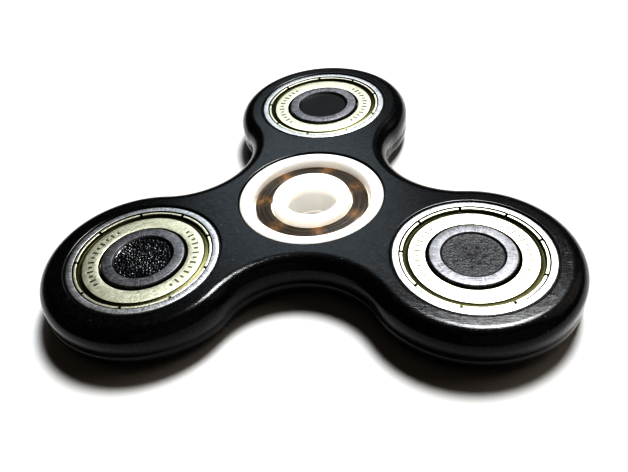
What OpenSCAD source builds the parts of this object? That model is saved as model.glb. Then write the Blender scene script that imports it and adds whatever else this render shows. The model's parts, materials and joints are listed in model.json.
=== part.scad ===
// Three-armed fidget spinner with four 608-size ball bearings.
// The spin axis is Z. The origin is at the middle of the centre bearing, and the rear arm is on +Y.

/* [Body] */
// Distance from the spin axis to each arm bearing
arm_reach = 26.5; // [25.5:0.5:30]
// Plastic left around each bearing
wall = 4; // [3.5:0.5:5]
// Thickness of the body
body_t = 7.2; // [7.1:0.1:9]
// Rounding of the body's outer edges
edge_r = 2.4; // [1:0.1:2.8]

/* [Bearing rings] */
// Radius of the bore
bore_r = 4; // [3.5:0.1:4.2]
// Outside radius
ring_r = 11; // [10.8:0.1:12]
// Width
ring_w = 7; // [6.6:0.1:7]
// Radial thickness of each ring
ring_t = 2; // [1.8:0.1:2.1]
// Chamfer at the ends of the bore
bore_chamfer = 0.4; // [0.2:0.1:0.5]
// Chamfer on the other ring edges
ring_chamfer = 0.25; // [0.1:0.05:0.3]

/* [Balls and cages] */
// Number of balls in each bearing
ball_count = 7; // [5:1:7]
// Ball diameter, 5/32 inch
ball_d = 3.969; // [3.6:0.001:3.97]
// Gap between a ball and the race on each side
race_gap = 0.045; // [0.035:0.005:0.06]
// Gap between a ball and its cage pocket
pocket_gap = 0.1; // [0.08:0.01:0.12]
// Radial width of a cage
cage_w = 2; // [1.8:0.1:2.2]
// Sheet thickness of the pressed steel cages
cage_t = 0.3; // [0.2:0.05:0.3]
// Radius of a cage rivet's shank
rivet_r = 0.35; // [0.25:0.05:0.4]
// Radial width of the moulded cage
crown_w = 2.3; // [2:0.1:2.3]
// Thickness of the moulded cage over each ball
crown_roof = 0.25; // [0.2:0.05:0.5]
// How far the moulded cage's fingers reach below the ball centres
crown_drop = 1; // [0.6:0.1:1.2]
// Width of the slot between two fingers of the moulded cage
crown_slot = 1; // [0.6:0.1:1.2]
// Angle of the first ball from +X
first_ball = 25; // [0:1:51]

/* [Shields] */
// Sheet thickness of a shield
shield_t = 0.3; // [0.2:0.05:0.35]
// Running gap between a shield and the inner ring
shield_gap = 0.35; // [0.15:0.05:0.4]
// Radial width of the seat in the outer ring
shield_seat = 1; // [0.9:0.1:1]
// Depth of that seat below the ring's face
seat_depth = 0.9; // [0.85:0.05:0.95]
// Number of crimp notches in a shield's rim
notch_count = 9; // [6:1:12]
// Width of a crimp notch
notch_w = 0.3; // [0.1:0.02:0.4]
// Turn of each shield's notches: rear, left and right
notch_turn = [18, 27, 16]; // [0:1:60]

/* [Bore plugs] */
// How far a plug's ends lie below the ring faces
plug_recess = 0.25; // [0.15:0.05:0.35]

/* [Hidden] */
$fn = 96;
margin = 1;

arms = ["rear", "left", "right"];
arm_angle = [90, 210, 330];

lobe_r = ring_r + wall;
waist_r = arm_reach - lobe_r;
// Flat steps in each rounded edge, and the angle between two points of the outline
edge_steps = 4;
outline_step = 10;

pitch_r = (bore_r + ring_r) / 2;
inner_land_r = bore_r + ring_t;
outer_land_r = ring_r - ring_t;
ball_r = ball_d / 2;
race_r = ball_r + race_gap;
ball_step = 360 / ball_count;

pocket_r = ball_r + pocket_gap;
cup_r = pocket_r + cage_t;
rivet_head_r = 1.7 * rivet_r;
rivet_head_t = 0.2;
rivet_play = 0.02;
crown_top = pocket_r + crown_roof;

face_z = ring_w / 2;
seat_r = ring_r - shield_seat;
seat_z = face_z - seat_depth;
shield_in_r = inner_land_r + shield_gap;
shield_rim_z = face_z - 0.1;
shield_flat_z = face_z - 0.3;
rim_in_r = seat_r - 0.65;
groove_r = rim_in_r - 0.25;
groove_in_r = rim_in_r - 0.55;
rim_chamfer = 0.1;
notch_depth = 0.45;

plug_z = face_z - plug_recess;
plug_lip = bore_chamfer - plug_recess;

arm_pieces = ["outer_ring", "inner_ring", "upper_cage", "lower_cage", "cage_rivets",
              "upper_shield", "lower_shield", "bore_plug"];

// Moves its children to the arm bearing that lies at an angle about the spin axis
module at_reach(angle) {
    translate([arm_reach * cos(angle), arm_reach * sin(angle), 0]) children();
}

// Places its children at ball k, or between two balls when k ends in a half
module at_ball(k) {
    rotate([0, 0, first_ball + (k - 1) * ball_step]) translate([pitch_r, 0, 0]) children();
}

module tube(r_in, r_out, z_low, z_high) {
    difference() {
        translate([0, 0, z_low]) cylinder(r = r_out, h = z_high - z_low);
        translate([0, 0, z_low - margin]) cylinder(r = r_in, h = z_high - z_low + 2 * margin);
    }
}

// ---- Body ----

function polar(radius, angle) = radius * [cos(angle), sin(angle)];

// Outline of the body, drawn in by inset all round. Lobes and waists are arcs about the corners
// of one hexagon, so each arc runs smoothly into the next.
function outline(inset) = [for (angle = arm_angle) each concat(
    [for (turn = [-120 : outline_step : 120])
        polar(arm_reach, angle) + polar(lobe_r - inset, angle + turn)],
    [for (turn = [outline_step : outline_step : 120 - outline_step])
        polar(arm_reach, angle + 60) + polar(waist_r + inset, angle - 60 - turn)])];

// The body without its seats, built up in levels that follow the rounded edges
module skin() {
    upper = [for (k = [0 : edge_steps]) let (turn = 90 * k / edge_steps)
        [edge_r - edge_r * cos(turn), body_t / 2 - edge_r + edge_r * sin(turn)]];
    lower = [for (k = [edge_steps : -1 : 0]) [upper[k].x, -upper[k].y]];
    levels = concat(lower, upper);
    n = len(outline(0));
    top = len(levels) - 1;
    points = concat(
        [for (level = levels) each [for (p = outline(level.x)) [p.x, p.y, level.y]]],
        [[0, 0, -body_t / 2], [0, 0, body_t / 2]]);
    below = n * (top + 1);
    faces = [for (k = [0 : n - 1]) let (next = (k + 1) % n) each concat(
        [[below, k, next], [below + 1, n * top + next, n * top + k]],
        [for (i = [0 : top - 1]) each [
            [n * i + k, n * (i + 1) + k, n * (i + 1) + next],
            [n * i + k, n * (i + 1) + next, n * i + next]]])];
    polyhedron(points, faces);
}

module bearing_seat() {
    cylinder(r = ring_r, h = body_t + 2 * margin, center = true);
}

module body() {
    color("#17181a") difference() {
        skin();
        bearing_seat();
        for (angle = arm_angle) at_reach(angle) bearing_seat();
    }
}

// ---- Bearing rings ----

// Ring section with a chamfer of its own on the inside and the outside edges
module ring_section(r_in, r_out, in_chamfer, out_chamfer) {
    difference() {
        polygon([
            [r_in, in_chamfer - face_z], [r_in + in_chamfer, -face_z],
            [r_out - out_chamfer, -face_z], [r_out, out_chamfer - face_z],
            [r_out, face_z - out_chamfer], [r_out - out_chamfer, face_z],
            [r_in + in_chamfer, face_z], [r_in, face_z - in_chamfer]]);
        translate([pitch_r, 0]) circle(r = race_r);
    }
}

module outer_ring() {
    rotate_extrude() ring_section(outer_land_r, ring_r, ring_chamfer, ring_chamfer);
}

module inner_ring() {
    rotate_extrude() ring_section(bore_r, inner_land_r, bore_chamfer, ring_chamfer);
}

// An outer ring with a step at each face that takes a shield
module shielded_outer_ring() {
    rotate_extrude() difference() {
        ring_section(outer_land_r, ring_r, ring_chamfer, ring_chamfer);
        for (side = [-1, 1]) translate([(seat_r + outer_land_r - margin) / 2, side * face_z])
            square([seat_r - outer_land_r + margin, 2 * seat_depth], center = true);
    }
}

// ---- Balls and cages ----

module ball(k) {
    color("#d8dade") at_ball(k) sphere(r = ball_r);
}

// One pressed half of a ribbon cage: a flat web with a cup over each ball
module ribbon_half() {
    difference() {
        intersection() {
            union() {
                cylinder(r = pitch_r + cage_w, h = cage_t);
                for (k = [1 : ball_count]) at_ball(k) sphere(r = cup_r);
            }
            tube(pitch_r - cage_w / 2, pitch_r + cage_w / 2, 0, cup_r + margin);
        }
        for (k = [1 : ball_count]) {
            at_ball(k) sphere(r = pocket_r);
            at_ball(k + 0.5) cylinder(r = rivet_r + rivet_play, h = 3 * cage_t, center = true);
        }
    }
}

module upper_cage() {
    color("#a9a59a") ribbon_half();
}

module lower_cage() {
    color("#a9a59a") mirror([0, 0, 1]) ribbon_half();
}

module cage_rivets() {
    head_z = cage_t + rivet_head_t;
    color("#8d8a82") for (k = [1 : ball_count]) at_ball(k + 0.5) rotate_extrude() polygon([
        [0, -head_z], [rivet_head_r, -head_z], [rivet_head_r, -cage_t], [rivet_r, -cage_t],
        [rivet_r, cage_t], [rivet_head_r, cage_t], [rivet_head_r, head_z], [0, head_z]]);
}

// A moulded cage that closes over the balls and snaps round them from above
module crown_cage() {
    color("#5a3a1c") difference() {
        tube(pitch_r - crown_w / 2, pitch_r + crown_w / 2, -crown_drop, crown_top);
        for (k = [1 : ball_count]) {
            at_ball(k) sphere(r = pocket_r);
            at_ball(k + 0.5) translate([0, 0, -crown_drop])
                cube([3 * cage_w, crown_slot, 3 * crown_slot], center = true);
        }
    }
}

// ---- Shields and plugs ----

// Upper shield: flat centre, a groove, and a rim that is crimped into the outer ring
module shield(turn) {
    color("#d9d3ae") difference() {
        rotate_extrude() polygon([
            [shield_in_r, shield_flat_z], [groove_in_r, shield_flat_z],
            [groove_r, shield_flat_z - shield_t], [rim_in_r, shield_rim_z],
            [seat_r - rim_chamfer, shield_rim_z], [seat_r, shield_rim_z - rim_chamfer], [seat_r, seat_z],
            [groove_in_r - shield_t / 2, seat_z], [groove_in_r - shield_t, shield_flat_z - shield_t],
            [shield_in_r, shield_flat_z - shield_t]]);
        for (k = [0 : notch_count - 1]) rotate([0, 0, turn + k * 360 / notch_count])
            translate([rim_in_r, -notch_w / 2, shield_rim_z - notch_depth])
                cube([shield_seat, notch_w, seat_depth]);
    }
}

module bore_plug() {
    color("#26272a") rotate_extrude() polygon([
        [0, -plug_z], [bore_r + plug_lip, -plug_z], [bore_r, plug_lip - plug_z],
        [bore_r, plug_z - plug_lip], [bore_r + plug_lip, plug_z], [0, plug_z]]);
}

// ---- Nodes ----

body();
color("#f4f3ee") outer_ring();  // centre_outer_ring
color("#f4f3ee") inner_ring();  // centre_inner_ring
crown_cage();  // centre_cage
for (k = [1 : ball_count])
    ball(k);

for (i = [0 : 2]) at_reach(arm_angle[i]) {
    color("#b9bcc0") shielded_outer_ring();
    color("#b9bcc0") inner_ring();
    upper_cage();
    lower_cage();
    cage_rivets();
    shield(notch_turn[i]);
    mirror([0, 0, 1]) shield(notch_turn[i]);
    bore_plug();
    for (k = [1 : ball_count])
        ball(k);
}
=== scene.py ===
import json
import math

import bmesh
import bpy
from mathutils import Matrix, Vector, noise


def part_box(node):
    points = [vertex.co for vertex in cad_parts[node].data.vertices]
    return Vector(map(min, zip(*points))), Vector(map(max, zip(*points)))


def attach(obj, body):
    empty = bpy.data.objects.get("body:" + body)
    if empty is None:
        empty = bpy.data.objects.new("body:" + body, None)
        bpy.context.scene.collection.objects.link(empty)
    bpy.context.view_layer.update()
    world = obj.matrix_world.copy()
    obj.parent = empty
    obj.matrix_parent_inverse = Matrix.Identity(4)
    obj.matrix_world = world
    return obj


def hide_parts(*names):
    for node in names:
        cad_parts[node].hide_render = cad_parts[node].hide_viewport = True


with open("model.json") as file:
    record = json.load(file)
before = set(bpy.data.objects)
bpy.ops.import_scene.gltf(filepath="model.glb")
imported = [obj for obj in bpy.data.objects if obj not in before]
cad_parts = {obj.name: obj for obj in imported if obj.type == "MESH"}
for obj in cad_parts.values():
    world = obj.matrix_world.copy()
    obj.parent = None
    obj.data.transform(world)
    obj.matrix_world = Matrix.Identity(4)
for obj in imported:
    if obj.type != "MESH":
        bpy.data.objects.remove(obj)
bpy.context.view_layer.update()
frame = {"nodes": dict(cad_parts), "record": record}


# ---- Sizes, in millimetres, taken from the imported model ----

MM = 0.001


def high(node):
    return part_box(node)[1] / MM


def middle(node):
    low_corner, high_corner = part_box(node)
    return (low_corner + high_corner) / 2 / MM


# These three repeat the CAD model, because the nodes' boxes don't give them
RING_T = 2.0
RACE_GAP = 0.045
EDGE_R = 2.4

ARMS = ("rear", "left", "right")
ARM_ANGLE = {"rear": 90, "left": 210, "right": 330}
BALL_COUNT = 7

RING_R = high("centre_outer_ring").x
FACE_Z = high("centre_outer_ring").z
INNER_LAND_R = high("centre_inner_ring").x
BORE_R = INNER_LAND_R - RING_T
OUTER_LAND_R = RING_R - RING_T
PITCH_R = (BORE_R + RING_R) / 2
BALL_R = high("centre_ball_1").z
RACE_R = BALL_R + RACE_GAP
BODY_Z = high("body").z
ARM_REACH = middle("rear_outer_ring").y
LOBE_R = high("body").y - ARM_REACH
WAIST_R = ARM_REACH - LOBE_R
SHIELD_RIM_Z = high("rear_upper_shield").z
PLUG_Z = high("rear_bore_plug").z
PLUG_LIP_R = high("rear_bore_plug").x

FIRST_BALL = math.degrees(math.atan2(middle("centre_ball_1").y, middle("centre_ball_1").x))

# Steps round a full circle
TURNS = 192


def arm_centre(arm):
    return middle(arm + "_outer_ring")


# ---- Camera ----

TARGET = Vector((1.2, -9.5, BODY_Z))
AZIMUTH, ELEVATION, ROLL = (math.radians(a) for a in (8.9, 41.65, -6.6))
DISTANCE = 94.8
SENSOR, LENS = 36, 38.4

back = Vector((math.sin(AZIMUTH) * math.cos(ELEVATION),
               -math.cos(AZIMUTH) * math.cos(ELEVATION), math.sin(ELEVATION)))
camera = bpy.data.objects.new("camera", bpy.data.cameras.new("camera"))
bpy.context.scene.collection.objects.link(camera)
camera.location = (TARGET + back * DISTANCE) * MM
camera.rotation_mode = "QUATERNION"
camera.rotation_quaternion = back.to_track_quat("Z", "Y")
camera.rotation_mode = "XYZ"
camera.rotation_euler.rotate_axis("Z", ROLL)
camera.data.sensor_width = SENSOR
camera.data.lens = LENS
camera.data.clip_start = 0.005
bpy.context.scene.camera = camera

# ---- Lights ----

scene = bpy.context.scene
scene.view_settings.view_transform = "Standard"
scene.view_settings.look = "Very High Contrast"

LIGHT_DISTANCE = 1.5


def disk_light(name, azimuth, elevation, diameter, power, colour):
    """A round softbox aimed at the origin. The azimuth is clockwise from +Y, as seen from above."""
    data = bpy.data.lights.new(name, "AREA")
    data.shape = "DISK"
    data.size = diameter
    data.energy = power
    data.color = colour
    light = bpy.data.objects.new(name, data)
    scene.collection.objects.link(light)
    a, e = math.radians(azimuth), math.radians(elevation)
    offset = Vector((math.sin(a) * math.cos(e), math.cos(a) * math.cos(e), math.sin(e)))
    light.location = offset * LIGHT_DISTANCE
    light.rotation_euler = offset.to_track_quat("Z", "Y").to_euler()
    return light


world = bpy.data.worlds.new("studio")
scene.world = world
world.use_nodes = True
world.node_tree.nodes["Background"].inputs["Color"].default_value = (0.03, 0.024, 0.019, 1)
world.node_tree.nodes["Background"].inputs["Strength"].default_value = 1.0

disk_light("key", azimuth=20, elevation=60.5, diameter=0.46, power=18.5, colour=(0.98, 0.99, 1))
disk_light("sheen", azimuth=-10, elevation=40, diameter=0.55, power=1.4, colour=(0.8, 0.92, 1))
disk_light("fill", azimuth=70, elevation=38, diameter=1.0, power=1.8, colour=(1, 0.9, 0.8))
# A white card in front of the object, which only shows as a reflection
card = disk_light("card", azimuth=148, elevation=26, diameter=2.4, power=2.6, colour=(1, 0.98, 0.95))
card.visible_diffuse = False


# ---- Shader helpers ----

class Shader:
    """A material's node tree, with short calls for the nodes that repeat. Places are in millimetres."""

    def __init__(self, name, **inputs):
        self.material = bpy.data.materials.new(name)
        self.material.use_nodes = True
        self.tree = self.material.node_tree
        self.base = self.tree.nodes["Principled BSDF"]
        for socket, value in inputs.items():
            self.base.inputs[socket.replace("_", " ")].default_value = value
        metres = self.node("ShaderNodeTexCoord").outputs["Object"]
        self.place = self.in_millimetres(metres)

    def node(self, kind, **settings):
        made = self.tree.nodes.new(kind)
        for key, value in settings.items():
            setattr(made, key, value)
        return made

    def feed(self, socket, value):
        if isinstance(value, bpy.types.NodeSocket):
            self.tree.links.new(value, socket)
        else:
            socket.default_value = value

    def set(self, socket, value):
        self.feed(self.base.inputs[socket], value)

    def math(self, operation, a, b=0.0, c=0.0, clamp=False):
        made = self.node("ShaderNodeMath", operation=operation, use_clamp=clamp)
        for socket, value in zip(made.inputs, (a, b, c)):
            self.feed(socket, value)
        return made.outputs[0]

    def in_millimetres(self, metres):
        made = self.node("ShaderNodeVectorMath", operation="SCALE")
        self.feed(made.inputs[0], metres)
        made.inputs["Scale"].default_value = 1 / MM
        return made.outputs[0]

    def round_place(self):
        """The angle about Z in radians, and the radius and the height in millimetres."""
        split = self.node("ShaderNodeSeparateXYZ")
        self.feed(split.inputs[0], self.place)
        x, y, z = split.outputs
        squares = self.math("ADD", self.math("POWER", x, 2.0), self.math("POWER", y, 2.0))
        return self.math("ARCTAN2", y, x), self.math("SQRT", squares), z

    def polar(self, around, outward):
        """Coordinates that follow a ring: angle times around, radius times outward, and the height."""
        angle, radius, height = self.round_place()
        joined = self.node("ShaderNodeCombineXYZ")
        self.feed(joined.inputs[0], self.math("MULTIPLY", angle, around))
        self.feed(joined.inputs[1], self.math("MULTIPLY", radius, outward))
        self.feed(joined.inputs[2], height)
        return joined.outputs[0]

    def stretched(self, turn, scale):
        """Coordinates turned about Z by an angle in degrees, then scaled along each axis."""
        made = self.node("ShaderNodeMapping")
        self.feed(made.inputs["Vector"], self.place)
        made.inputs["Rotation"].default_value = (0, 0, math.radians(turn))
        made.inputs["Scale"].default_value = scale
        return made.outputs[0]

    def noise(self, scale, detail=3.0, roughness=0.5, at=None):
        made = self.node("ShaderNodeTexNoise")
        self.feed(made.inputs["Vector"], self.place if at is None else at)
        made.inputs["Scale"].default_value = scale
        made.inputs["Detail"].default_value = detail
        made.inputs["Roughness"].default_value = roughness
        return made.outputs["Fac"]

    def cells(self, scale):
        """The distance to the nearest of some scattered points."""
        made = self.node("ShaderNodeTexVoronoi")
        self.feed(made.inputs["Vector"], self.place)
        made.inputs["Scale"].default_value = scale
        return made.outputs["Distance"]

    def range(self, value, from_low, from_high, to_low, to_high):
        """Maps a value from one range to another, and keeps it inside the second."""
        made = self.node("ShaderNodeMapRange")
        limits = {"From Min": from_low, "From Max": from_high, "To Min": to_low, "To Max": to_high}
        for name, number in limits.items():
            made.inputs[name].default_value = number
        self.feed(made.inputs["Value"], value)
        return made.outputs["Result"]

    def mix(self, amount, a, b):
        """A colour between a and b. The colour sockets come after the node's other ones."""
        made = self.node("ShaderNodeMix", data_type="RGBA")
        self.feed(made.inputs[0], amount)
        self.feed(made.inputs[6], a)
        self.feed(made.inputs[7], b)
        return made.outputs[2]

    def bump(self, height, depth, socket="Normal"):
        """Bump of a depth in millimetres, on top of any bump before it."""
        made = self.node("ShaderNodeBump")
        made.inputs["Distance"].default_value = depth * MM
        self.feed(made.inputs["Height"], height)
        before = self.base.inputs[socket].links
        if before:
            self.feed(made.inputs["Normal"], before[0].from_socket)
        self.feed(self.base.inputs[socket], made.outputs["Normal"])


def rgb(red, green, blue):
    return (red, green, blue, 1.0)


# ---- Materials ----

# Plain dashes stamped on a shield, as many as would fill a circle. Every other one is long.
# They lie in two arcs, where the cosine of the angle is over the limit. The lengths are halves.
DASHES = 48
DASH_R, DASH_HALF_W = 7.5, 0.15
LONG_DASH, SHORT_DASH = 0.45, 0.28
DASH_COSINE = 0.62
# Radii of a shield's rim, and of the bottom and the inner edge of the groove inside it
GROOVE_R = RING_R - 1
RIM_IN_R, RIM_OUT_R = GROOVE_R - 0.56, GROOVE_R - 0.16
DIP_R, DIP_IN_R = GROOVE_R - 0.72, GROOVE_R - 1.32


def make_black_plastic():
    """Polished black plastic: a smooth coat over a finely scuffed base, with specks of dust."""
    s = Shader("black_plastic", Specular_IOR_Level=0.08, Coat_Weight=1.0, Coat_Roughness=0.1,
               Coat_IOR=1.36)
    scuffs = None
    for turn in (12, 67, 131):
        line = s.range(s.noise(1.0, 2, 0.6, s.stretched(turn, (0.5, 16.0, 1.0))), 0.5, 0.75, 0.0, 1.0)
        scuffs = line if scuffs is None else s.math("MAXIMUM", scuffs, line)
    grain = s.noise(2.6, 5, 0.75)
    specks = s.range(s.cells(0.8), 0.07, 0.04, 0.0, 1.0)
    dusty = s.range(s.noise(0.4, 1), 0.5, 0.6, 0.0, 0.5)
    haze = s.range(s.noise(2.4, 5, 0.8), 0.45, 0.7, 0.0, 1.0)
    black = s.mix(haze, rgb(0.002, 0.002, 0.0023), rgb(0.022, 0.023, 0.026))
    s.set("Base Color", s.mix(s.math("MULTIPLY", specks, dusty), black, rgb(0.5, 0.5, 0.5)))
    polish = s.range(grain, 0.3, 0.7, 0.24, 0.4)
    s.set("Roughness", s.math("ADD", polish, s.math("MULTIPLY", scuffs, 0.08)))
    s.bump(grain, 0.03)
    s.bump(scuffs, -0.006)
    s.bump(s.noise(1.6, 2), 0.004, "Coat Normal")
    s.bump(scuffs, -0.003, "Coat Normal")
    return s.material


def make_ceramic():
    """White ceramic with a painted glow (emission) that stands in for light carried through it, strongest
    towards the inner ring, and with painted shade that makes it greyer low in the bore.
    """
    s = Shader("white_ceramic", Roughness=0.22, Specular_IOR_Level=0.6)
    # Painted shade: the base colour turns grey near the bore and below its rim, where less light reaches
    # the bore's wall
    _, radius, height = s.round_place()
    near_bore = s.range(radius, BORE_R + 0.1, BORE_R + 0.8, 1.0, 0.0)
    below_rim = s.range(height, 0.4, 2.2, 1.0, 0.0)
    bore = s.math("MULTIPLY", near_bore, below_rim)
    white = s.mix(s.noise(0.6, 2), rgb(0.95, 0.94, 0.91), rgb(0.97, 0.96, 0.94))
    s.set("Base Color", s.mix(bore, white, rgb(0.76, 0.76, 0.755)))
    s.base.inputs["Subsurface Weight"].default_value = 1.0
    s.base.inputs["Subsurface Radius"].default_value = (1, 0.92, 0.8)
    s.base.inputs["Subsurface Scale"].default_value = 0.0015
    # Painted glow: a cream emission in place of light that would pass through the ceramic into its shaded
    # walls, strongest at the inner ring and weaker in the bore
    s.base.inputs["Emission Color"].default_value = rgb(1, 0.94, 0.84)
    glow = s.range(radius, INNER_LAND_R, OUTER_LAND_R, 0.34, 0.2)
    s.set("Emission Strength", s.math("MULTIPLY", glow, s.range(bore, 0.0, 1.0, 1.0, 0.2)))
    s.bump(s.noise(14.0, 2), 0.001)
    return s.material


def make_ring_steel(name, dark, bright, rough):
    """Ground steel with fine lines: round the ring, in one direction across it, and outwards."""
    s = Shader(name, Metallic=1.0)
    turning = s.noise(1.0, 4, 0.7, s.polar(2.5, 16.0))
    grinding = s.noise(1.0, 4, 0.7, s.stretched(38, (1.0, 14.0, 3.0)))
    radial = s.noise(1.0, 3, 0.6, s.polar(60.0, 0.8))
    lines = s.math("ADD", s.math("MULTIPLY", turning, 0.3), s.math("MULTIPLY", grinding, 0.35))
    lines = s.math("ADD", lines, s.math("MULTIPLY", radial, 0.35))
    s.set("Base Color", s.mix(s.range(lines, 0.42, 0.58, 0.0, 1.0), dark, bright))
    s.set("Roughness", s.range(lines, 0.35, 0.65, rough, rough + 0.12))
    s.bump(lines, 0.02)
    return s.material


def make_cage_steel():
    s = Shader("cage_steel", Metallic=1.0)
    s.set("Base Color", s.mix(s.noise(1.5), rgb(0.36, 0.35, 0.32), rgb(0.5, 0.49, 0.45)))
    s.set("Roughness", s.range(s.noise(5.0), 0.3, 0.7, 0.3, 0.45))
    s.bump(s.noise(8.0), 0.004)
    return s.material


def make_ball_steel():
    s = Shader("ball_steel", Metallic=1.0)
    s.set("Base Color", s.mix(s.noise(2.0), rgb(0.72, 0.73, 0.75), rgb(0.8, 0.81, 0.83)))
    s.set("Roughness", s.range(s.noise(6.0), 0.3, 0.7, 0.05, 0.1))
    return s.material


def dash_mask(s, angle, radius):
    """1 inside a stamped dash, and 0 elsewhere."""
    turn = s.math("MULTIPLY", angle, DASHES / (2 * math.pi))
    off = s.math("PINGPONG", turn, 0.5)
    dash = s.math("LESS_THAN", off, DASH_HALF_W * DASHES / (2 * math.pi * DASH_R))
    reach = s.range(s.math("PINGPONG", turn, 1.0), 0.4, 0.6, SHORT_DASH, LONG_DASH)
    band = s.math("LESS_THAN", s.math("ABSOLUTE", s.math("SUBTRACT", radius, DASH_R)), reach)
    arcs = s.math("GREATER_THAN", s.math("ABSOLUTE", s.math("COSINE", angle)), DASH_COSINE)
    return s.math("MULTIPLY", s.math("MULTIPLY", dash, band), arcs)


def make_shield_zinc():
    """Pale yellow zinc plate, pebbled, with painted shade in the groove of its rim, darkest at the
    groove's inner edge, and darker in its stamped dashes.
    """
    s = Shader("shield_zinc", Metallic=1.0)
    mottle = s.noise(2.6, 5, 0.8)
    angle, radius, _ = s.round_place()
    pebbles = s.range(mottle, 0.3, 0.7, 0.0, 1.0)
    plate = s.mix(pebbles, rgb(0.5, 0.49, 0.37), rgb(0.78, 0.77, 0.63))
    # Painted shade: the groove inside the rim gets a dark olive colour, darkest at its inner edge, where
    # the slope turns away from the light
    past_edge = s.range(radius, DIP_IN_R - 0.08, DIP_IN_R + 0.04, 0.0, 1.0)
    before_rim = s.range(radius, RIM_IN_R - 0.08, RIM_IN_R, 1.0, 0.0)
    across = s.range(radius, DIP_IN_R, DIP_IN_R + 0.25, 0.0, 1.0)
    painted_groove_shade = s.mix(across, rgb(0.05, 0.048, 0.027), rgb(0.1, 0.097, 0.054))
    plate = s.mix(s.math("MULTIPLY", past_edge, before_rim), plate, painted_groove_shade)
    stamped = s.math("MULTIPLY", dash_mask(s, angle, radius), 0.85)
    s.set("Base Color", s.mix(stamped, plate, rgb(0.12, 0.115, 0.08)))
    s.set("Roughness", s.range(mottle, 0.3, 0.7, 0.3, 0.42))
    s.bump(mottle, 0.04)
    return s.material


def make_painted_gap_shade():
    """Painted shade: a near-black colour for the gap beside a shield's rim, its notches, the sides of its
    dashes and the outer ring's lip recess.
    """
    s = Shader("painted_gap_shade", Specular_IOR_Level=0.3)
    s.set("Base Color", s.mix(s.noise(3.0), rgb(0.006, 0.006, 0.005), rgb(0.02, 0.018, 0.014)))
    s.set("Roughness", s.range(s.noise(6.0), 0.3, 0.7, 0.4, 0.6))
    s.bump(s.noise(8.0), 0.01)
    return s.material


def make_amber_nylon():
    """Dark translucent plastic with a painted glow: orange where a white ball lies close behind it, as
    light coming through would be.
    """
    s = Shader("amber_nylon", Roughness=0.3, IOR=1.5, Transmission_Weight=0.3, Specular_IOR_Level=0.3)
    angle = s.math("SUBTRACT", s.round_place()[0], math.radians(FIRST_BALL))
    # Painted glow: one orange patch at each ball's angle
    off = s.math("ABSOLUTE", s.math("SINE", s.math("MULTIPLY", angle, BALL_COUNT / 2)))
    glow = s.range(off, 0.0, 0.7, 1.0, 0.0)
    glow = s.math("MULTIPLY", glow, s.range(s.noise(1.1, 3), 0.35, 0.65, 0.1, 1.0), clamp=True)
    streak = s.range(s.noise(1.0, 2, 0.6, s.polar(1.5, 5.0)), 0.35, 0.65, 0.0, 1.0)
    dark = s.mix(streak, rgb(0.02, 0.012, 0.004), rgb(0.11, 0.07, 0.03))
    s.set("Base Color", s.mix(glow, dark, rgb(0.4, 0.21, 0.07)))
    s.bump(s.noise(1.0, 1, 0.5, s.polar(0.2, 4.0)), 0.08)
    s.bump(s.noise(5.0), 0.01)
    return s.material


def make_plug_plastic(name, dark, bright, smooth, rough, shine):
    """Dark plastic between two greys and between two roughnesses."""
    s = Shader(name, Specular_IOR_Level=shine)
    grain = s.noise(4.0, 3)
    s.set("Base Color", s.mix(grain, rgb(*dark), rgb(*bright)))
    s.set("Roughness", s.range(grain, 0.3, 0.7, smooth, rough))
    s.bump(s.noise(16.0, 2), 0.006)
    return s.material


def make_floor():
    s = Shader("paper", Roughness=0.9)
    s.set("Base Color", s.mix(s.noise(0.05), rgb(0.88, 0.88, 0.87), rgb(0.92, 0.92, 0.91)))
    s.bump(s.noise(2.0), 0.01)
    return s.material


MATERIAL = {
    "black_plastic": make_black_plastic(),
    "white_ceramic": make_ceramic(),
    "amber_nylon": make_amber_nylon(),
    "ring_steel": make_ring_steel("ring_steel", rgb(0.3, 0.305, 0.31), rgb(0.7, 0.7, 0.7), 0.3),
    "cage_steel": make_cage_steel(),
    "ball_steel": make_ball_steel(),
    "shield_zinc": make_shield_zinc(),
}
INNER_STEEL = make_ring_steel("ring_steel_ground", rgb(0.06, 0.06, 0.063), rgb(0.28, 0.28, 0.29), 0.4)
PAINTED_GAP_SHADE = make_painted_gap_shade()
PLUG_MATERIAL = {
    "rear": make_plug_plastic("plug_smooth", dark=(0.006, 0.006, 0.007), bright=(0.012, 0.012, 0.013),
                              smooth=0.35, rough=0.5, shine=0.25),
    "left": make_plug_plastic("plug_pebbled", dark=(0.004, 0.004, 0.005), bright=(0.008, 0.008, 0.009),
                              smooth=0.12, rough=0.2, shine=0.45),
    "right": make_plug_plastic("plug_leather", dark=(0.01, 0.01, 0.011), bright=(0.035, 0.035, 0.037),
                               smooth=0.36, rough=0.46, shine=0.4),
}


# ---- Mesh helpers ----

# Edges bent by more than this are drawn sharp
SHARP = math.radians(32)


def finish_mesh(name, bm, material, body, nodes, centre=(0, 0, 0), in_painted_shade=None):
    """Turns a bmesh in millimetres into a piece that rides on a body and stands for CAD nodes.
    Faces picked by the last argument get a second, near-black material: painted shade for gaps and
    recesses."""
    bmesh.ops.recalc_face_normals(bm, faces=bm.faces[:])
    if in_painted_shade:
        for face in bm.faces:
            if in_painted_shade(face):
                face.material_index = 1
    bmesh.ops.scale(bm, vec=(MM, MM, MM), verts=bm.verts[:])
    mesh = bpy.data.meshes.new(name)
    bm.to_mesh(mesh)
    bm.free()
    mesh.shade_smooth()
    mesh.set_sharp_from_angle(angle=SHARP)
    piece = bpy.data.objects.new(name, mesh)
    scene.collection.objects.link(piece)
    piece.location = Vector(centre) * MM
    mesh.materials.append(material)
    if in_painted_shade:
        mesh.materials.append(PAINTED_GAP_SHADE)
    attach(piece, body)
    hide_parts(*nodes)


def lies_in(face, low_r, high_r, high_z):
    """Whether a face lies between two radii and within a height of the middle."""
    return all(low_r < vert.co.xy.length < high_r and abs(vert.co.z) < high_z for vert in face.verts)


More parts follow.
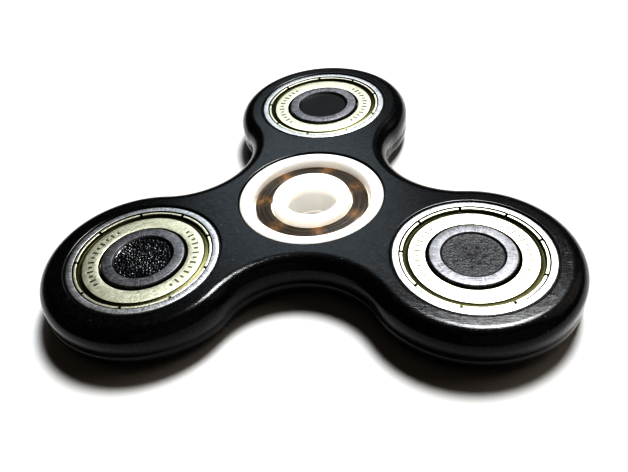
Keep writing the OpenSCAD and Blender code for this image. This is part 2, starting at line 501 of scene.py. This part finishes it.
def faces_round(face):
    """Whether a face looks along the circle about Z, as the side of a notch does."""
    place = face.calc_center_median()
    return abs(face.normal.dot(Vector((-place.y, place.x, 0)).normalized())) > 0.5


def arc(centre, radius, start, end, steps):
    """Points along an arc, from one angle to another in degrees."""
    return [(centre[0] + radius * math.cos(math.radians(start + (end - start) * k / steps)),
             centre[1] + radius * math.sin(math.radians(start + (end - start) * k / steps)))
            for k in range(steps + 1)]


def rounded(outline, steps=5):
    """Rounds each corner (r, z, radius) of a closed outline. A corner given as (r, z) stays as it is."""
    points = []
    for k, corner in enumerate(outline):
        if len(corner) == 2 or corner[2] == 0:
            points.append(corner[:2])
            continue
        here = Vector(corner[:2])
        before = (Vector(outline[k - 1][:2]) - here).normalized()
        after = (Vector(outline[(k + 1) % len(outline)][:2]) - here).normalized()
        half = before.angle(after) / 2
        centre = here + (before + after).normalized() * corner[2] / math.sin(half)
        start = here + before * corner[2] / math.tan(half) - centre
        end = here + after * corner[2] / math.tan(half) - centre
        sweep = start.angle_signed(end)
        for step in range(steps + 1):
            turn = -sweep * step / steps
            points.append((centre.x + start.x * math.cos(turn) - start.y * math.sin(turn),
                           centre.y + start.x * math.sin(turn) + start.y * math.cos(turn)))
    return points


def lathe(bm, profile, angles=None, shape=None, on_axis=False):
    """Turns a profile of (radius, height) about Z. It is closed, or it starts and ends on the axis.
    shape(radius, height, angle), if given, moves each point."""
    if angles is None:
        angles = [2 * math.pi * k / TURNS for k in range(TURNS)]
    columns = []
    poles = []
    if on_axis:
        poles = [bm.verts.new((0, 0, profile[0][1])), bm.verts.new((0, 0, profile[-1][1]))]
        profile = profile[1:-1]
    for angle in angles:
        column = []
        for radius, height in profile:
            if shape:
                radius, height = shape(radius, height, angle)
            column.append(bm.verts.new((radius * math.cos(angle), radius * math.sin(angle), height)))
        columns.append(column)
    last = len(profile) - 1
    for column, following in zip(columns, columns[1:] + columns[:1]):
        for k in range(last if on_axis else last + 1):
            up = (k + 1) % len(profile)
            bm.faces.new((column[k], following[k], following[up], column[up]))
        if on_axis:
            bm.faces.new((poles[0], following[0], column[0]))
            bm.faces.new((poles[1], column[last], following[last]))


# ---- Body ----

# Degrees between two points of the outline, and steps in each rounded edge
OUTLINE_STEP = 3
ROUND_STEPS = 12
# Rounding of each bearing seat's mouth, and the narrow flat that keeps the shading of the faces even
MOUTH_R = 0.3
FLAT_MARGIN = 0.05
# The line left by the two halves of the mould
PARTING_Z, PARTING_HALF_W, PARTING_DEPTH = -0.3, 0.04, 0.015


def polar(radius, angle):
    return Vector((radius * math.cos(math.radians(angle)), radius * math.sin(math.radians(angle))))


def body_outline(inset):
    """The outline drawn in by inset: lobes and waists are arcs about the corners of one hexagon."""
    points = []
    for angle in ARM_ANGLE.values():
        for turn in range(-120, 121, OUTLINE_STEP):
            points.append(polar(ARM_REACH, angle) + polar(LOBE_R - inset, angle + turn))
        for turn in range(OUTLINE_STEP, 120, OUTLINE_STEP):
            points.append(polar(ARM_REACH, angle + 60) + polar(WAIST_R + inset, angle - 60 - turn))
    return points


def body_levels():
    """Pairs of (inset, height) up the side: rounded edge, wall with parting line, rounded edge."""
    rounding = [(EDGE_R - EDGE_R * math.cos(turn), BODY_Z - EDGE_R + EDGE_R * math.sin(turn))
                for turn in (math.pi / 2 * k / ROUND_STEPS for k in range(ROUND_STEPS + 1))]
    rounding.append((EDGE_R + FLAT_MARGIN, BODY_Z))
    lower = [(inset, -height) for inset, height in reversed(rounding)]
    seam = [(0, PARTING_Z - PARTING_HALF_W), (PARTING_DEPTH, PARTING_Z), (0, PARTING_Z + PARTING_HALF_W)]
    return lower + seam + rounding


def add_side(bm):
    """Adds the side of the body, and gives its lowest and its highest loop."""
    rings = []
    for inset, height in body_levels():
        rings.append([bm.verts.new((p.x, p.y, height)) for p in body_outline(inset)])
    for lower, upper in zip(rings, rings[1:]):
        for k in range(len(lower)):
            bm.faces.new((lower[k - 1], lower[k], upper[k], upper[k - 1]))
    return rings[0], rings[-1]


def add_seat(bm, centre):
    """Adds the wall of a bearing's seat, and gives its lowest and its highest loop."""
    mouth = [(RING_R + MOUTH_R + FLAT_MARGIN, BODY_Z)]
    mouth += arc((RING_R + MOUTH_R, BODY_Z - MOUTH_R), MOUTH_R, 90, 180, 4)
    loops = []
    for radius, height in [(radius, -height) for radius, height in mouth] + mouth[::-1]:
        loops.append([bm.verts.new((*(centre + polar(radius, 360 * k / TURNS)), height))
                      for k in range(TURNS)])
    for lower, upper in zip(loops, loops[1:]):
        for k in range(TURNS):
            bm.faces.new((upper[k - 1], upper[k], lower[k], lower[k - 1]))
    return loops[0], loops[-1]


def make_body():
    bm = bmesh.new()
    edge_loops = [add_side(bm), add_seat(bm, Vector((0, 0)))]
    edge_loops += [add_seat(bm, polar(ARM_REACH, angle)) for angle in ARM_ANGLE.values()]
    for side, loops in zip((-1, 1), zip(*edge_loops)):
        edges = [bm.edges.get((loop[k - 1], loop[k])) for loop in loops for k in range(len(loop))]
        bmesh.ops.triangle_fill(bm, use_beauty=True, edges=edges, normal=(0, 0, side))
    finish_mesh("spinner_shell", bm, MATERIAL["black_plastic"], "spinner_body", ["body"])


# ---- Bearing rings ----

RACE_STEPS = 10


def race(start, end):
    """The ball groove of a ring, as an arc about the ball's centre."""
    return arc((PITCH_R, 0), RACE_R, start, end, RACE_STEPS)


def race_reach(land_r):
    """How far the groove's arc runs to each side of the middle, in degrees, to end on the ring's land."""
    return math.degrees(math.acos(abs(land_r - PITCH_R) / RACE_R))


def make_plain_outer_ring():
    reach = race_reach(OUTER_LAND_R)
    section = [(OUTER_LAND_R, -FACE_Z, 0.7), (RING_R, -FACE_Z, 0.35), (RING_R, FACE_Z, 0.35),
               (OUTER_LAND_R, FACE_Z, 0.7)]
    bm = bmesh.new()
    lathe(bm, rounded(section) + race(reach, -reach))
    finish_mesh("centre_outer_race", bm, MATERIAL["white_ceramic"], "spinner_body",
                ["centre_outer_ring"])


def inner_ring_profile(bore_chamfer, bore_radius, outer_radius):
    """The section of an inner ring, with chamfered bore ends. The radii round its corners."""
    reach = race_reach(INNER_LAND_R)
    section = [(INNER_LAND_R, FACE_Z, outer_radius), (BORE_R + bore_chamfer, FACE_Z, bore_radius),
               (BORE_R, FACE_Z - bore_chamfer, bore_radius), (BORE_R, bore_chamfer - FACE_Z, bore_radius),
               (BORE_R + bore_chamfer, -FACE_Z, bore_radius), (INNER_LAND_R, -FACE_Z, outer_radius)]
    return rounded(section) + race(180 + reach, 180 - reach)


def make_inner_ring(bearing, material, profile, centre):
    bm = bmesh.new()
    lathe(bm, profile)
    finish_mesh(bearing + "_inner_race", bm, material, bearing + "_inner",
                [bearing + "_inner_ring"], centre)


# The lip that holds a shield's rim, and the seat under that rim
LIP_R = GROOVE_R - 0.04
LIP_T = 0.35
SHIELD_SEAT_Z = FACE_Z - 0.9


def make_shielded_outer_ring(arm):
    reach = race_reach(OUTER_LAND_R)
    upper = [(OUTER_LAND_R, SHIELD_SEAT_Z), (GROOVE_R, SHIELD_SEAT_Z), (GROOVE_R, FACE_Z - LIP_T),
             (LIP_R, FACE_Z - LIP_T), (LIP_R, FACE_Z, 0.06), (RING_R, FACE_Z, 0.25)]
    lower = [(corner[0], -corner[1], *corner[2:]) for corner in upper]
    bm = bmesh.new()
    lathe(bm, rounded(lower + upper[::-1]) + race(reach, -reach))
    # Faces in the lip's recess, below the ring's face, get painted shade
    finish_mesh(arm + "_outer_race", bm, MATERIAL["ring_steel"], "spinner_body",
                [arm + "_outer_ring"], arm_centre(arm).xy.to_3d(),
                lambda face: lies_in(face, 0, GROOVE_R + 0.01, FACE_Z - 0.04))


# ---- Shields ----

NOTCHES = 9
NOTCH_W, NOTCH_DEPTH = 0.34, 0.55
NOTCH_TURN = {"rear": 18, "left": 27, "right": 16}
NOTCH_STEP = 2 * math.pi / NOTCHES
HALF_NOTCH = NOTCH_W / 2 / RIM_OUT_R
# Sloping sides of a notch
NOTCH_EDGE = 0.15 * HALF_NOTCH
# Steps between two notches
RIM_STEPS = 12
SHIELD_T = 0.3
SHIELD_GAP = 0.35
FLAT_Z = FACE_Z - 0.3
DIP_Z = FACE_Z - 0.58
NOTCH_Z = SHIELD_RIM_Z - NOTCH_DEPTH
# Depth of a dash, and width of its sloping sides
DASH_DEPTH, DASH_SOFT = 0.06, 0.04
DASH_STEP = 2 * math.pi / DASHES


def shield_profile():
    """Flat centre with points for the dashes, a shallow groove, and a rim held in the outer ring."""
    hole_r = INNER_LAND_R + SHIELD_GAP
    rim_low = FACE_Z - LIP_T - 0.08
    dash_ends = [DASH_R + side * (reach - soft) for side in (-1, 1) for reach in (LONG_DASH, SHORT_DASH)
                 for soft in (0, DASH_SOFT)]
    outline = [(hole_r, FLAT_Z - SHIELD_T, 0.05), (hole_r, FLAT_Z, 0.08),
               *((radius, FLAT_Z) for radius in sorted(dash_ends)), (DIP_IN_R, FLAT_Z, 0.05),
               (DIP_IN_R + 0.06, FLAT_Z - 0.1, 0.05), (DIP_R, DIP_Z, 0.06),
               (RIM_IN_R, SHIELD_RIM_Z, 0.07), (RIM_OUT_R, SHIELD_RIM_Z, 0.08),
               (RIM_OUT_R + 0.04, rim_low, 0.03), (GROOVE_R, rim_low, 0.03),
               (GROOVE_R, SHIELD_SEAT_Z), (DIP_IN_R, SHIELD_SEAT_Z, 0.1),
               (DIP_IN_R - 0.3, FLAT_Z - SHIELD_T, 0.05)]
    return rounded(outline, 4)


def has_dash(number):
    return abs(math.cos(number * DASH_STEP)) > DASH_COSINE


def shield_angles(first_notch):
    """Angles for the lathe: both sides of every notch and dash, and even steps between the notches."""
    angles = []
    free = NOTCH_STEP - 2 * (HALF_NOTCH + NOTCH_EDGE)
    for centre in (first_notch + k * NOTCH_STEP for k in range(NOTCHES)):
        angles += [centre - HALF_NOTCH - NOTCH_EDGE, centre - HALF_NOTCH, centre - HALF_NOTCH / 3,
                   centre + HALF_NOTCH / 3, centre + HALF_NOTCH, centre + HALF_NOTCH + NOTCH_EDGE]
        angles += [centre + HALF_NOTCH + NOTCH_EDGE + free * k / RIM_STEPS for k in range(1, RIM_STEPS)]
    half_dash, soft = DASH_HALF_W / DASH_R, DASH_SOFT / DASH_R
    for number in filter(has_dash, range(DASHES)):
        angles += [number * DASH_STEP + turn for turn in (-half_dash, soft - half_dash,
                                                          half_dash - soft, half_dash)]
    return sorted(angle % (2 * math.pi) for angle in angles)


def lies_in_dash(radius, height, angle):
    number = round(angle / DASH_STEP)
    reach = LONG_DASH if number % 2 else SHORT_DASH
    half_turn = (DASH_HALF_W - DASH_SOFT / 2) / DASH_R
    return (abs(height - FLAT_Z) < 1e-6 and has_dash(number)
            and abs(angle - number * DASH_STEP) < half_turn
            and abs(radius - DASH_R) < reach - DASH_SOFT / 2)


def make_shield(arm, side):
    first_notch = math.radians(NOTCH_TURN[arm])

    def stamped(radius, height, angle):
        if lies_in_dash(radius, height, angle):
            height -= DASH_DEPTH
        off = (angle - first_notch + NOTCH_STEP / 2) % NOTCH_STEP - NOTCH_STEP / 2
        in_notch = abs(off) < HALF_NOTCH * 1.05
        if in_notch and RIM_IN_R - 0.12 < radius < RIM_OUT_R + 0.1 and height > DIP_Z - 0.01:
            height = NOTCH_Z
        return radius, height

    # Painted shade on the gap beside the rim, in the notches, and on the sides of notches and dashes
    def in_painted_shade(face):
        in_gap = lies_in(face, RIM_OUT_R - 0.01, RING_R, SHIELD_RIM_Z - 0.07)
        in_notch = lies_in(face, RIM_IN_R - 0.14, RING_R, NOTCH_Z + 0.01)
        return in_gap or in_notch or faces_round(face)

    bm = bmesh.new()
    lathe(bm, shield_profile(), shield_angles(first_notch), stamped)
    if side == "lower":
        bmesh.ops.scale(bm, vec=(1, 1, -1), verts=bm.verts[:])
    finish_mesh(f"{arm}_{side}_dust_shield", bm, MATERIAL["shield_zinc"], "spinner_body",
                [f"{arm}_{side}_shield"], arm_centre(arm).xy.to_3d(), in_painted_shade)


# ---- Plugs ----

PLUG_RINGS = 80
PLUG_TURNS = 240
# Depth of the grain cut into the plug's faces, and the stretch over which it fades out at the edge
GRAIN_DEPTH = 0.1
GRAIN_FADE = 0.15


def smooth_relief(x, y):
    return 0.02 * noise.noise(Vector((x * 0.5, y * 0.5, 3)))


def pebbled_relief(x, y):
    near, second = noise.voronoi(Vector((x * 2.6, y * 2.6, 1)))[0][:2]
    return 0.1 * min(1, (second - near) * 1.5) + 0.03 * noise.noise(Vector((x * 6, y * 6, 7)))


def leather_relief(x, y):
    along, across = x * 0.9 + y * 0.45, y * 0.9 - x * 0.45
    bend = 0.8 * noise.noise(Vector((x * 0.6, y * 0.6, 5)))
    wrinkle = noise.noise(Vector((along * 1.8, across * 5.5 + bend, 2)))
    return 0.09 - 0.09 * abs(wrinkle) + 0.03 * noise.noise(Vector((x * 7, y * 7, 4)))


RELIEF = {"rear": smooth_relief, "left": pebbled_relief, "right": leather_relief}


def make_plug(arm):
    relief = RELIEF[arm]
    lip = PLUG_LIP_R - BORE_R
    half = [(PLUG_LIP_R * k / PLUG_RINGS, PLUG_Z) for k in range(PLUG_RINGS)]
    half += [(PLUG_LIP_R, PLUG_Z), (BORE_R, PLUG_Z - lip)]
    profile = [(radius, -height) for radius, height in half] + half[::-1]

    def grained(radius, height, angle):
        if abs(height) > PLUG_Z - GRAIN_DEPTH and radius < PLUG_LIP_R:
            x, y = radius * math.cos(angle), radius * math.sin(angle)
            fade = min(1.0, (PLUG_LIP_R - radius) / GRAIN_FADE)
            height = math.copysign(abs(height) - (GRAIN_DEPTH - relief(x, y)) * fade, height)
        return radius, height

    bm = bmesh.new()
    angles = [2 * math.pi * k / PLUG_TURNS for k in range(PLUG_TURNS)]
    lathe(bm, profile, angles, grained, on_axis=True)
    finish_mesh(arm + "_plug", bm, PLUG_MATERIAL[arm], arm + "_inner",
                [arm + "_bore_plug"], arm_centre(arm).xy.to_3d())


# ---- Pieces ----

make_body()
make_plain_outer_ring()
soft_profile = inner_ring_profile(bore_chamfer=0.6, bore_radius=0.9, outer_radius=0.75)
make_inner_ring("centre", MATERIAL["white_ceramic"], soft_profile, (0, 0, 0))
crisp_profile = inner_ring_profile(bore_chamfer=0.4, bore_radius=0.08, outer_radius=0.22)
for arm in ARMS:
    make_shielded_outer_ring(arm)
    make_inner_ring(arm, INNER_STEEL, crisp_profile, arm_centre(arm).xy.to_3d())
    for side in ("upper", "lower"):
        make_shield(arm, side)
    make_plug(arm)

# The cages and the balls stay as the CAD nodes that they are, each with its own slot's material
slots = {row["node"]: row["material_slot"] for row in frame["record"]["subparts"]}
for name, obj in frame["nodes"].items():
    if not obj.hide_render:
        obj.data.materials.clear()
        obj.data.materials.append(MATERIAL[slots[name]])

# ---- Floor and backdrop ----

FLOOR_REACH = 1.0
WALL_HEIGHT = 2.0


def stage_mesh(name, points, faces, material):
    mesh = bpy.data.meshes.new(name)
    mesh.from_pydata(points, [], faces)
    mesh.materials.append(material)
    stage = bpy.data.objects.new(name, mesh)
    scene.collection.objects.link(stage)
    stage.location.z = -BODY_Z * MM
    return stage


def make_backdrop_paper():
    """Paper with an even pale glow of its own, which the renderer doesn't treat as a lamp."""
    s = Shader("backdrop_paper", Base_Color=rgb(0, 0, 0), Roughness=1.0, Specular_IOR_Level=0.0)
    s.base.inputs["Emission Color"].default_value = rgb(0.7, 0.7, 0.69)
    s.base.inputs["Emission Strength"].default_value = 1.0
    s.material.cycles.emission_sampling = "NONE"
    return s.material


def make_backdrop():
    """A pale round wall at the floor's edge. Only the camera sees it, so it lights nothing."""
    low = [(*polar(FLOOR_REACH, 360 * k / TURNS), 0) for k in range(TURNS)]
    high_points = [(x, y, WALL_HEIGHT) for x, y, _ in low]
    faces = [((k - 1) % TURNS, k, TURNS + k, TURNS + (k - 1) % TURNS) for k in range(TURNS)]
    wall = stage_mesh("backdrop", low + high_points, faces, make_backdrop_paper())
    wall.visible_diffuse = False
    wall.visible_glossy = False
    wall.visible_transmission = False
    wall.visible_shadow = False


square = [(x * FLOOR_REACH, y * FLOOR_REACH, 0) for x, y in ((-1, -1), (1, -1), (1, 1), (-1, 1))]
stage_mesh("floor", square, [(0, 1, 2, 3)], make_floor())
make_backdrop()
